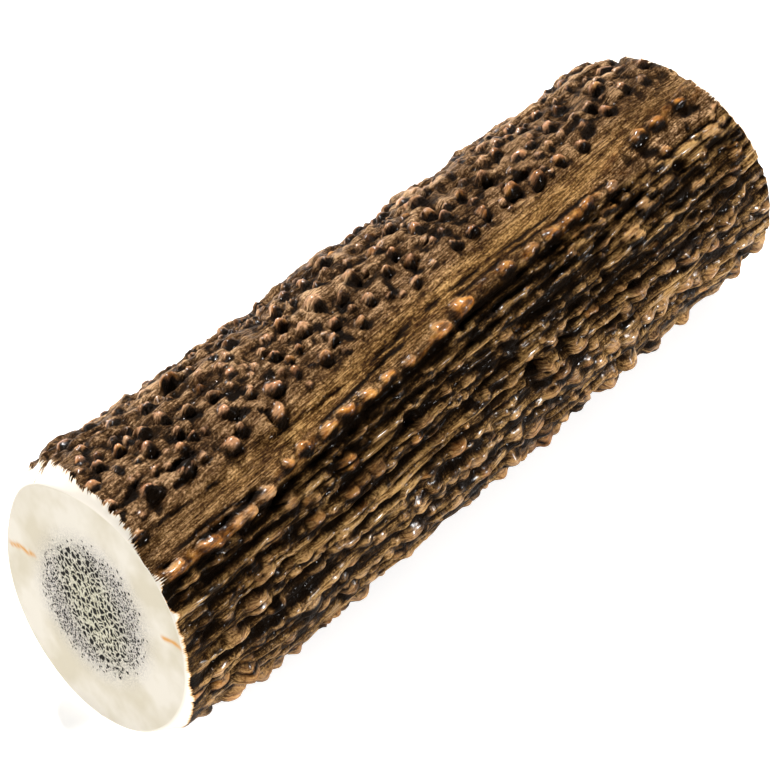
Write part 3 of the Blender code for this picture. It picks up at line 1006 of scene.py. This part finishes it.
@dataclass(frozen=True)
class AntlerFinish:
    """Antler: bone that grew a pigmented bark, dried, then sawn, ground and waxed.

    The bark is a hard horn-brown skin with fibres along the beam, nearly matt where it is raw and glossy
    where handling has polished its crests. Amber beads show where it is thin over clear bone. Its hollows
    and the lower flanks of its pearls are painted near black, as painted shade with some stain, and its
    crests and the upper caps of its pearls are painted lighter, as wear and painted light. The cuts show
    dense cream bone, ground matt, round an open sponge whose cells are painted near black as the shade
    inside them.
    """

    layers: tuple[str, ...] = (
        "pearl", "amber", "crest", "stain_and_shade", "trough", "lower",
        "ground_off", "face", "fringe", "sponge", "crack",
    )
    colours: AntlerColours = AntlerColours()
    core: SpongyCore = SpongyCore()
    ior: float = 1.54
    wax_level: float = 0.07
    wax_tint: str = "#c79a68"
    gloss_roughness: float = 0.23
    roughness: float = 0.5
    row_gloss: float = 0.9
    amber_gloss: float = 0.45
    pearl_gloss: float = 0.85
    hollow_gleam: float = 0.6
    # How far painted shade and stain lower the tone
    stain_and_shade_tone: float = -0.14
    # How far crests lift the tone: lighter wear and painted light
    crest_wear_and_light_tone: float = 0.12
    fibre_relief: float = 0.34
    grit_relief: float = 0.42
    mottle_relief: float = 0.5
    pearl_wear: float = -0.65
    sawn_relief: float = 0.015
    sponge_relief: float = 0.16
    pore_relief: float = -0.35
    # Real bark fibres are about 0.1 mm wide, too fine to show here, so the hairs are drawn 0.15 mm wide
    # and the fibres 0.4 mm wide
    patterns: tuple[tuple[str, Pattern], ...] = (
        ("fibre", Pattern(5.0, 0.4, 5.0, 0.62)),
        ("hair", Pattern(2.6, 0.15, 1.0, 0.5)),
        ("grit", Pattern(0.42, 0.24, 3.0, 0.8)),
        ("mottle", Pattern(2.2, 1.0, 3.0, 0.6)),
        ("blotch", Pattern(9.0, 7.0, 3.0, 0.5)),
        ("growth", Pattern(17.0, 1.9, 3.0, 0.55)),
    )

    def material(self) -> bpy.types.Material:
        """Builds the one material of the section, which reads the relief that the mesh carries.

        Returns:
            The material.
        """
        made = bpy.data.materials.new("waxed_antler_roll")
        made.use_nodes = True
        made.node_tree.nodes.clear()
        bench = NodeBench(made.node_tree)
        seen = {}
        for name in self.layers:
            seen[name] = bench.add("Attribute", {}, {"attribute_name": name}, output="Fac")
        grain = bench.add("Attribute", {}, {"attribute_name": "grain"}, output="Vector")
        for name, pattern in self.patterns:
            scale = (1 / pattern.along, 1 / pattern.across, 1 / pattern.across)
            place = bench.add("Mapping", {"Vector": grain, "Scale": scale})
            shape = {"Scale": 1.0, "Detail": pattern.detail, "Roughness": pattern.roughness}
            seen[name] = bench.add("TexNoise", {"Vector": place} | shape)
        seen["pore"] = self.pores(bench, seen, grain)
        bark = self.bark_colour(bench, seen)
        sawn, bone = self.sawn_colour(bench, seen)
        colour = bench.add("Mix", {"Factor": sawn, "A": bark, "B": bone}, COLOURS)
        surface = {
            "Base Color": colour,
            "Roughness": self.roughness,
            "Normal": self.bump(bench, seen, sawn),
            "Coat Weight": self.polish(bench, seen, sawn),
            "Coat Roughness": self.gloss_roughness,
            "IOR": self.ior,
            "Specular IOR Level": self.wax_level,
            "Specular Tint": linear(self.wax_tint),
        }
        shader = bench.add("BsdfPrincipled", surface)
        bench.add("OutputMaterial", {"Surface": shader})
        return made

    def bark_colour(self, bench: NodeBench, seen: dict[str, Any]) -> Any:
        """Lays the bark's pigment over its relief, with painted shade in its hollows and painted light on
        its crests.

        Args:
            bench: Where the nodes go.
            seen: The mesh's layers and the patterns, by name.

        Returns:
            The socket with the bark's colour.
        """
        c = self.colours
        grain = bench.add("Mix", {"Factor": 0.65, "A": seen["fibre"], "B": seen["grit"]}, NUMBERS)
        tone = bench.add("Mix", {"Factor": 0.2, "A": grain, "B": seen["mottle"]}, NUMBERS)
        # Crests lift the tone as wear and painted light; stain and shade lower it as painted shade
        tone = bench.add("Math", {0: seen["crest"], 1: self.crest_wear_and_light_tone, 2: tone}, TIMES_PLUS)
        tone = bench.add("Math", {0: seen["stain_and_shade"], 1: self.stain_and_shade_tone, 2: tone}, TIMES_PLUS)
        stops = ((0.415, c.ground_dark), (0.6, c.ground_light), (0.495, c.ground))
        colour = bench.add("ValToRGB", {"Fac": tone}, stops=stops)
        stops = ((0.425, c.lower_dark), (0.61, c.lower_light), (0.505, c.lower))
        lower = bench.add("ValToRGB", {"Fac": tone}, stops=stops)
        stops = ((0.41, c.trough_dark), (0.57, c.trough_light), (0.485, c.trough))
        trough = bench.add("ValToRGB", {"Fac": tone}, stops=stops)
        stops = ((0.475, c.untinted), (0.525, c.untinted), (0.49, c.growth_line), (0.505, c.growth_line))
        lines = bench.add("ValToRGB", {"Fac": seen["growth"]}, stops=stops)
        trough = bench.add("Mix", {"Factor": 0.9, "A": trough, "B": lines}, TINTS)
        colour = bench.add("Mix", {"Factor": seen["lower"], "A": colour, "B": lower}, COLOURS)
        colour = bench.add("Mix", {"Factor": seen["trough"], "A": colour, "B": trough}, COLOURS)
        # Pearl caps sit on the lumps' upper, lit side: their lighter colour is wear and painted light
        for share, pattern, stops, way in (
            (0.7, seen["blotch"], ((0.36, c.grey_patch), (0.62, c.untinted)), TINTS),
            (0.75, seen["hair"], ((0.4, c.hairline), (0.5, c.untinted)), TINTS),
            (seen["pearl"], tone, ((0.4, c.pearl_dark), (0.62, c.pearl)), COLOURS),
            (
                seen["amber"], seen["mottle"],
                ((0.43, c.amber_edge), (0.68, c.amber_light), (0.54, c.amber)), COLOURS,
            ),
        ):
            coat = bench.add("ValToRGB", {"Fac": pattern}, stops=stops)
            colour = bench.add("Mix", {"Factor": share, "A": colour, "B": coat}, way)
        # Painted shade: near black over creases, pits and the pearls' lower flanks, with some dark stain
        dark = bench.add("MapRange", {"Value": seen["stain_and_shade"], "From Min": 0.25, "From Max": 0.85})
        return bench.add("Mix", {"Factor": dark, "A": colour, "B": linear(c.stain_and_shade)}, COLOURS)

    def sawn_colour(self, bench: NodeBench, seen: dict[str, Any]) -> tuple[Any, Any]:
        """Lays the colours that grinding and sawing bare, from the skin's ochre edge to the sponge.

        Args:
            bench: Where the nodes go.
            seen: The mesh's layers and the patterns, by name.

        Returns:
            The share of sawn bone and its colour, as sockets.
        """
        c = self.colours
        torn = bench.add("Math", {0: seen["hair"], 1: 2.4, 2: -1.2}, TIMES_PLUS)
        calm = bench.add("Math", {0: seen["lower"], 1: -0.8, 2: 1.0}, TIMES_PLUS)
        ragged = bench.add("Math", {0: torn, 1: calm, 2: seen["ground_off"]}, TIMES_PLUS)
        share = bench.add("MapRange", {"Value": ragged, "From Min": 0.0, "From Max": 0.06})
        stops = ((0.03, c.skin_edge), (0.26, c.bevel), (0.12, c.under_skin))
        bone = bench.add("ValToRGB", {"Fac": ragged}, stops=stops)
        for layer, pattern, stops in (
            ("face", "blotch", ((0.4, c.dense), (0.62, c.dense_warm))),
            ("fringe", "grit", ((0.42, c.sponge_grey), (0.56, c.dense))),
            ("sponge", "grit", ((0.38, c.sponge), (0.6, c.strut))),
        ):
            coat = bench.add("ValToRGB", {"Fac": seen[pattern]}, stops=stops)
            bone = bench.add("Mix", {"Factor": seen[layer], "A": bone, "B": coat}, COLOURS)
        bone = bench.add("Mix", {"Factor": seen["crack"], "A": bone, "B": linear(c.crack)}, COLOURS)
        # Open cells are painted near black: painted shade inside holes that the mesh does not sink
        return share, bench.add("Mix", {"Factor": seen["pore"], "A": bone, "B": linear(c.pore)}, COLOURS)

    def pores(self, bench: NodeBench, seen: dict[str, Any], grain: Any) -> Any:
        """Draws the sponge's cells, wide in the middle and fine at the fringe, as a mask for their painted
        shade and a shallow dip.

        Args:
            bench: Where the nodes go.
            seen: The mesh's layers and the patterns, by name.
            grain: The socket with places in millimetres.

        Returns:
            The socket that tells how open each point is.
        """
        core = self.core
        drawn = []
        for size, wall, shut, layer in (
            (core.open_cell, core.open_wall, core.open_shut, seen["sponge"]),
            (core.fine_cell, core.fine_wall, core.fine_shut, seen["fringe"]),
        ):
            lie = {"Rotation": (math.radians(core.open_turn), 0.0, 0.0)}
            lie |= {"Vector": grain, "Scale": (1.0, size * core.stretch, size)}
            straight = bench.add("Mapping", lie, {"vector_type": "TEXTURE"})
            swirl = {"Vector": straight, "Scale": 1.3, "Detail": 1.0}
            stirred = {0: bench.add("TexNoise", swirl, output="Color"), 1: (core.stir,) * 3, 2: straight}
            place = {"Vector": bench.add("VectorMath", stirred, TIMES_PLUS), "Scale": 1.0}
            edge = bench.add("TexVoronoi", place, {"feature": "DISTANCE_TO_EDGE"})
            cell = bench.add("TexVoronoi", place, {"feature": "F1"}, output="Color")
            inner = bench.add("MapRange", {"Value": edge, "From Min": wall, "From Max": wall + 0.06})
            wanted = bench.add("Math", {0: layer, 1: 1.3, 2: -shut}, TIMES_PLUS)
            lot = bench.add("Math", {0: cell, 1: wanted}, {"operation": "LESS_THAN"})
            drawn.append(bench.add("Math", {0: inner, 1: lot}, TIMES))
        middle = bench.add("MapRange", {"Value": seen["sponge"], "From Min": 0.3, "From Max": 0.31})
        return bench.add("Mix", {"Factor": middle, "A": drawn[1], "B": drawn[0]}, NUMBERS)

    def polish(self, bench: NodeBench, seen: dict[str, Any], sawn: Any) -> Any:
        """Sets each part's polish: crests and amber beads gleam, hollows glint in specks, bone is dull.

        Args:
            bench: Where the nodes go.
            seen: The mesh's layers and the patterns, by name.
            sawn: The share of sawn bone.

        Returns:
            The socket with the share of gloss.
        """
        handled = bench.add("MapRange", {"Value": seen["mottle"], "From Min": 0.48, "From Max": 0.62})
        high = bench.add("Math", {0: handled, 1: seen["crest"]}, TIMES)
        high = bench.add("Math", {0: seen["lower"], 1: high}, TIMES)
        high = bench.add("Math", {0: high, 1: self.row_gloss}, TIMES)
        wet = bench.add("Math", {0: seen["amber"], 1: self.amber_gloss}, TIMES)
        gloss = bench.add("Math", {0: high, 1: wet}, {"operation": "MAXIMUM"})
        gloss = bench.add("Math", {0: seen["pearl"], 1: self.pearl_gloss, 2: gloss}, TIMES_PLUS)
        speck = {"Value": seen["grit"], "From Min": 0.6, "From Max": 0.66, "To Max": self.hollow_gleam}
        bare = {"Factor": seen["stain_and_shade"], "A": gloss, "B": bench.add("MapRange", speck)}
        gloss = bench.add("Mix", bare, NUMBERS)
        return bench.add("Mix", {"Factor": sawn, "A": gloss, "B": 0.0}, NUMBERS)

    def bump(self, bench: NodeBench, seen: dict[str, Any], sawn: Any) -> Any:
        """Adds the relief that is finer than the mesh, in millimetres.

        Args:
            bench: Where the nodes go.
            seen: The mesh's layers and the patterns, by name.
            sawn: The share of sawn bone.

        Returns:
            The socket with the bent normal.
        """
        fibres = bench.add("Math", {0: seen["fibre"], 1: self.fibre_relief}, TIMES)
        bark = bench.add("Math", {0: seen["grit"], 1: self.grit_relief, 2: fibres}, TIMES_PLUS)
        bark = bench.add("Math", {0: seen["mottle"], 1: self.mottle_relief, 2: bark}, TIMES_PLUS)
        worn = bench.add("Math", {0: seen["pearl"], 1: self.pearl_wear, 2: 1.0}, TIMES_PLUS)
        bark = bench.add("Math", {0: bark, 1: worn}, TIMES)
        sawn_grit = {0: seen["fringe"], 1: self.sponge_relief, 2: self.sawn_relief}
        bone = bench.add("Math", {0: bench.add("Math", sawn_grit, TIMES_PLUS), 1: seen["grit"]}, TIMES)
        bone = bench.add("Math", {0: seen["pore"], 1: self.pore_relief, 2: bone}, TIMES_PLUS)
        height = bench.add("Mix", {"Factor": sawn, "A": bark, "B": bone}, NUMBERS)
        return bench.add("Bump", {"Height": height, "Distance": MM})


@dataclass
class AntlerSection:
    """The dressed section: one closed mesh of bark, bevels and two pored saw cuts."""

    segments: int = 308
    rings: int = 276
    # The points stand closer together round the photographed side
    crowding: float = 0.28
    crowded_at: float = 70.0
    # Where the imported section's axis lies, in millimetres aside from its box's middle and above the ground
    axis_aside: float = 0.41
    axis_height: float = 19.6
    # The rings on the faces, as shares of the way out to the rim
    face_edge: float = 0.985
    thick_face_steps: tuple[float, ...] = (face_edge,) + tuple(np.linspace(0.94, 0.06, 23))
    thin_face_steps: tuple[float, ...] = (face_edge,) + tuple(np.linspace(0.92, 0.06, 13))
    # The lower side's relief is worn down at the thick rim
    worn_rim: tuple[float, float] = (1.0, 4.5)
    worn_share: float = 0.8
    worn_height: float = 0.2
    pale_half_width: float = 3.0
    ground_limit: float = 3.0
    cracks: tuple[Line, ...] = (((15.3, 0.2), (10.0, 1.3)), ((-14.1, 5.5), (-17.9, 6.1)))
    crack_half_width: float = 0.3
    sharp_angle: float = 75.0
    bark: Bark = field(default_factory=Bark)
    finish: AntlerFinish = field(default_factory=AntlerFinish)

    def blank(self) -> bpy.types.Mesh:
        """Turns a unit cylinder along X with fine rings on its side and on both faces.

        Returns:
            Its mesh.
        """
        bm = bmesh.new()
        lying = Matrix.Rotation(math.radians(90.0), 4, "Y")
        bmesh.ops.create_cone(
            bm, cap_ends=True, segments=self.segments, radius1=1.0, radius2=1.0, depth=1.0, matrix=lying
        )
        lengthwise = [e for e in bm.edges if abs(e.verts[0].co.x - e.verts[1].co.x) > 0.5]
        caps = [f for f in bm.faces if len(f.verts) == self.segments]
        bmesh.ops.subdivide_edges(bm, edges=lengthwise, cuts=self.rings - 2)
        for cap in caps:
            steps = self.thick_face_steps if cap.calc_center_median().x < 0.0 else self.thin_face_steps
            share = 1.0
            for step in steps:
                bmesh.ops.inset_individual(bm, faces=[cap], thickness=0.0)
                bmesh.ops.scale(bm, verts=cap.verts[:], vec=(1.0, step / share, step / share))
                share = step
            bmesh.ops.poke(bm, faces=[cap])
        for face in bm.faces:
            face.smooth = True
        mesh = bpy.data.meshes.new("antler")
        bm.to_mesh(mesh)
        bm.free()
        return mesh

    def build(self) -> bpy.types.Object:
        """Shapes the blank into the section, hangs the relief's layers on it and dresses it.

        Returns:
            The finished piece.
        """
        mesh = self.blank()
        flat = np.empty(len(mesh.vertices) * 3, np.float32)
        mesh.vertices.foreach_get("co", flat)
        unit = flat.reshape(-1, 3).astype(float)
        even = np.degrees(np.arctan2(-unit[:, 1], unit[:, 2]))
        phi = even - np.degrees(self.crowding * np.sin(np.radians(even - self.crowded_at)))
        reach = np.hypot(unit[:, 1], unit[:, 2])
        share = unit[:, 0] + 0.5
        (thick_face, starts), (thin_face, ends) = THICK_END.face(phi), THIN_END.face(phi)
        x = starts + (ends - starts) * share

        order = np.argsort(x, kind="stable")
        skin = Skin(x[order], phi[order])
        self.bark.build_up(skin)
        bark = np.empty_like(x)
        bark[order] = self.bark_radius(skin)
        bevel = np.minimum(THICK_END.bevel(x, phi), THIN_END.bevel(x, phi))
        on_side = reach > 0.9999
        on_thick = share < 0.5
        face = np.where(on_thick, thick_face, thin_face)
        radius = np.where(on_side, np.minimum(bark, bevel), np.minimum(face, bark) * reach)

        turn = np.radians(phi)
        across, up = -radius * np.sin(turn), radius * np.cos(turn)
        flat_cut = np.where(on_thick, THICK_END.cut(across, up), THIN_END.cut(across, up))
        along = np.where(on_side & (share > 0.0) & (share < 1.0), x, flat_cut)
        places = self.placed(np.stack([along, across, up], axis=1) * MM)
        mesh.vertices.foreach_set("co", places.astype(np.float32).ravel())

        layers = {name: np.empty_like(x) for name in ("pearl", "amber", "crest", "stain_and_shade")}
        for name, values in layers.items():
            values[order] = getattr(skin, name)
        inside = ~on_side
        pallor = np.interp(x, *zip(*self.bark.trough_pallor))
        ground_off = np.clip(bark - bevel, -self.ground_limit, self.ground_limit)
        layers |= {
            "trough": swell(self.bark.trough, self.pale_half_width, 1.0, x, phi) * pallor,
            "lower": np.clip(self.bark.lower_side(x, phi), 0.0, 1.0),
            "ground_off": np.where(inside, self.ground_limit, ground_off),
            "face": smooth_step(1.0, self.face_edge, reach),
            "fringe": self.finish.core.fineness(across, up) * inside,
            "sponge": self.finish.core.openness(across, up) * inside,
            "crack": self.crack_lines(across, up) * inside * on_thick,
        }
        fibre_turn = np.radians(BEAM.along_grain(along, phi))
        unrolled = [along, BEAM.mean_radius * np.cos(fibre_turn), BEAM.mean_radius * np.sin(fibre_turn)]
        grain = np.where(on_side, np.stack(unrolled), np.stack([along, across, up])).T
        self.dress(mesh, layers, grain)
        piece = bpy.data.objects.new("antler", mesh)
        bpy.context.scene.collection.objects.link(piece)
        return piece

    def bark_radius(self, skin: Skin) -> np.ndarray:
        """Adds the relief to the beam's own form, worn down at the lower side's thick rim.

        Args:
            skin: The layers that have been built up.

        Returns:
            Millimetres from the axis at each point.
        """
        flank = sum(where.rise(skin.x, skin.phi) for where in FLANKS)
        worn = self.bark.lower_side(skin.x, skin.phi) * (1.0 - smooth_step(*self.worn_rim, skin.x))
        relief = (skin.height + skin.raised - flank) * (1.0 - self.worn_share * worn)
        return BEAM.radius(skin.x, skin.phi) + flank + (relief + self.worn_height * worn)

    def dress(self, mesh: bpy.types.Mesh, layers: dict[str, np.ndarray], grain: np.ndarray) -> None:
        """Hangs the relief's layers on the mesh and gives it its finish.

        Args:
            mesh: The section's mesh.
            layers: A value at each point for each layer, by name.
            grain: Each point's place in millimetres, with the bark unrolled along its fibres.
        """
        for name, values in layers.items():
            layer = mesh.attributes.new(name, "FLOAT", "POINT")
            layer.data.foreach_set("value", values.astype(np.float32))
        layer = mesh.attributes.new("grain", "FLOAT_VECTOR", "POINT")
        layer.data.foreach_set("vector", grain.astype(np.float32).ravel())
        mesh.set_sharp_from_angle(angle=math.radians(self.sharp_angle))
        mesh.materials.append(self.finish.material())

    def crack_lines(self, across: np.ndarray, up: np.ndarray) -> np.ndarray:
        """Draws the two fine ochre cracks in the dense wall of the thick end.

        Args:
            across: Millimetres across the face.
            up: Millimetres up it.

        Returns:
            How much of a crack each point holds, from 0 to 1.
        """
        drawn = np.zeros_like(across)
        for start, end in self.cracks:
            run = np.array(end) - np.array(start)
            length = float(np.hypot(*run))
            u = ((across - start[0]) * run[0] + (up - start[1]) * run[1]) / length
            v = ((up - start[1]) * run[0] - (across - start[0]) * run[1]) / length
            inside = smooth_step(-0.3, 0.3, u) * (1.0 - smooth_step(length - 1.0, length + 0.5, u))
            wander = 0.2 * np.sin(2.1 * u) + 0.12 * np.sin(5.3 * u)
            drawn = np.maximum(drawn, inside * np.exp(-(((v - wander) / self.crack_half_width) ** 2)))
        return drawn

    def placed(self, places: np.ndarray) -> np.ndarray:
        """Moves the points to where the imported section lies, and stands them on the ground.

        Args:
            places: Metres along, across and up from the middle of the thick end.

        Returns:
            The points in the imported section's frame, none of them below its lowest point.
        """
        ends = places[:, 0].min() + places[:, 0].max()
        middle = [(CAD_LOW[0] + CAD_HIGH[0] - ends) / 2.0, (CAD_LOW[1] + CAD_HIGH[1]) / 2.0, CAD_LOW[2]]
        moved = places + np.array(middle) + np.array([0.0, self.axis_aside, self.axis_height]) * MM
        moved[:, 2] = np.maximum(moved[:, 2], CAD_LOW[2])
        return moved


def towards(azimuth: float, height: float) -> Vector:
    """Points from the section to a place round it and above it.

    Args:
        azimuth: Degrees round from the view along +Y.
        height: Degrees above the floor.

    Returns:
        The direction, one unit long.
    """
    turn, rise = math.radians(azimuth), math.radians(height)
    return Vector((math.sin(turn) * math.cos(rise), -math.cos(turn) * math.cos(rise), math.sin(rise)))


@dataclass(frozen=True)
class Softbox:
    """A square studio light: degrees round and up, metres away and along its side, and watts."""

    name: str
    azimuth: float
    height: float
    away: float
    size: float
    watts: float

    def hang(self) -> None:
        """Hangs the light so that it faces the section."""
        box = bpy.data.lights.new(self.name, "AREA")
        box.size = self.size
        box.energy = self.watts
        way = towards(self.azimuth, self.height)
        lamp = bpy.data.objects.new(self.name, box)
        lamp.location = way * self.away
        lamp.rotation_euler = way.to_track_quat("Z", "Y").to_euler()
        bpy.context.scene.collection.objects.link(lamp)


@dataclass(frozen=True)
class Studio:
    """A pale floor, a camera at the photograph's angle and soft studio light."""

    camera_azimuth: float = -46.07
    camera_height: float = 48.0
    camera_distance: float = 0.43645
    target: tuple[float, float, float] = (-0.003623, -0.00194, 0.019599)
    pixel_focal_length: float = 3139.6
    image_height: float = 781.0
    sensor: float = 36.0
    floor_half_width: float = 3.0
    paper: str = "#f7f7f7"
    paper_roughness: float = 0.9
    paper_glow: str = "#ffffff"
    paper_glow_strength: float = 0.47
    tent: str = "#ffffff"
    tent_strength: float = 0.06
    lights: tuple[Softbox, ...] = (
        Softbox("key", azimuth=160.0, height=42.0, away=1.2, size=0.11, watts=27.5),
        Softbox("fill", azimuth=-80.0, height=25.0, away=1.2, size=0.5, watts=6.3),
        Softbox("gleam", azimuth=30.0, height=20.0, away=1.2, size=0.12, watts=17.5),
    )

    def camera(self) -> bpy.types.Object:
        """Sets up the camera.

        Returns:
            The camera.
        """
        lens = bpy.data.cameras.new("camera")
        lens.sensor_width = self.sensor
        lens.lens = self.pixel_focal_length * self.sensor / self.image_height
        camera = bpy.data.objects.new("camera", lens)
        back = towards(self.camera_azimuth, self.camera_height)
        camera.location = Vector(self.target) + back * self.camera_distance
        camera.rotation_euler = back.to_track_quat("Z", "Y").to_euler()
        bpy.context.scene.collection.objects.link(camera)
        bpy.context.scene.camera = camera
        return camera

    def white_paper(self) -> bpy.types.Material:
        """Makes the floor's paper, matt so that nothing gleams on it, and lit to stay white.

        Returns:
            The material.
        """
        paper = bpy.data.materials.new("white_paper")
        paper.use_nodes = True
        shader = paper.node_tree.nodes["Principled BSDF"]
        shader.inputs["Base Color"].default_value = linear(self.paper)
        shader.inputs["Roughness"].default_value = self.paper_roughness
        shader.inputs["Emission Color"].default_value = linear(self.paper_glow)
        shader.inputs["Emission Strength"].default_value = self.paper_glow_strength
        return paper

    def floor(self) -> bpy.types.Object:
        """Lays the pale floor.

        Returns:
            The floor.
        """
        bm = bmesh.new()
        bmesh.ops.create_grid(bm, x_segments=1, y_segments=1, size=self.floor_half_width)
        mesh = bpy.data.meshes.new("floor")
        bm.to_mesh(mesh)
        bm.free()
        mesh.materials.append(self.white_paper())
        floor = bpy.data.objects.new("floor", mesh)
        bpy.context.scene.collection.objects.link(floor)
        return floor

    def world(self) -> None:
        """Surrounds the set with even white light."""
        world = bpy.data.worlds.new("white_tent")
        world.use_nodes = True
        background = world.node_tree.nodes["Background"]
        background.inputs["Color"].default_value = linear(self.tent)
        background.inputs["Strength"].default_value = self.tent_strength
        bpy.context.scene.world = world

    def set_up(self) -> bpy.types.Object:
        """Sets up the whole studio.

        Returns:
            Its floor.
        """
        bpy.context.scene.view_settings.view_transform = "Standard"
        self.world()
        for light in self.lights:
            light.hang()
        self.camera()
        return self.floor()


def main() -> None:
    """Builds the studio and the antler section, and reports each piece."""
    logging.basicConfig(level=logging.INFO, format="%(name)s: %(message)s")
    studio = Studio()
    studio.set_up()
    LOG.info("studio set up")
    antler = AntlerSection().build()
    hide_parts("antler_section")
    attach(antler, "root")
    LOG.info("antler: %d points, %d faces", len(antler.data.vertices), len(antler.data.polygons))


if __name__ == "__main__":
    main()
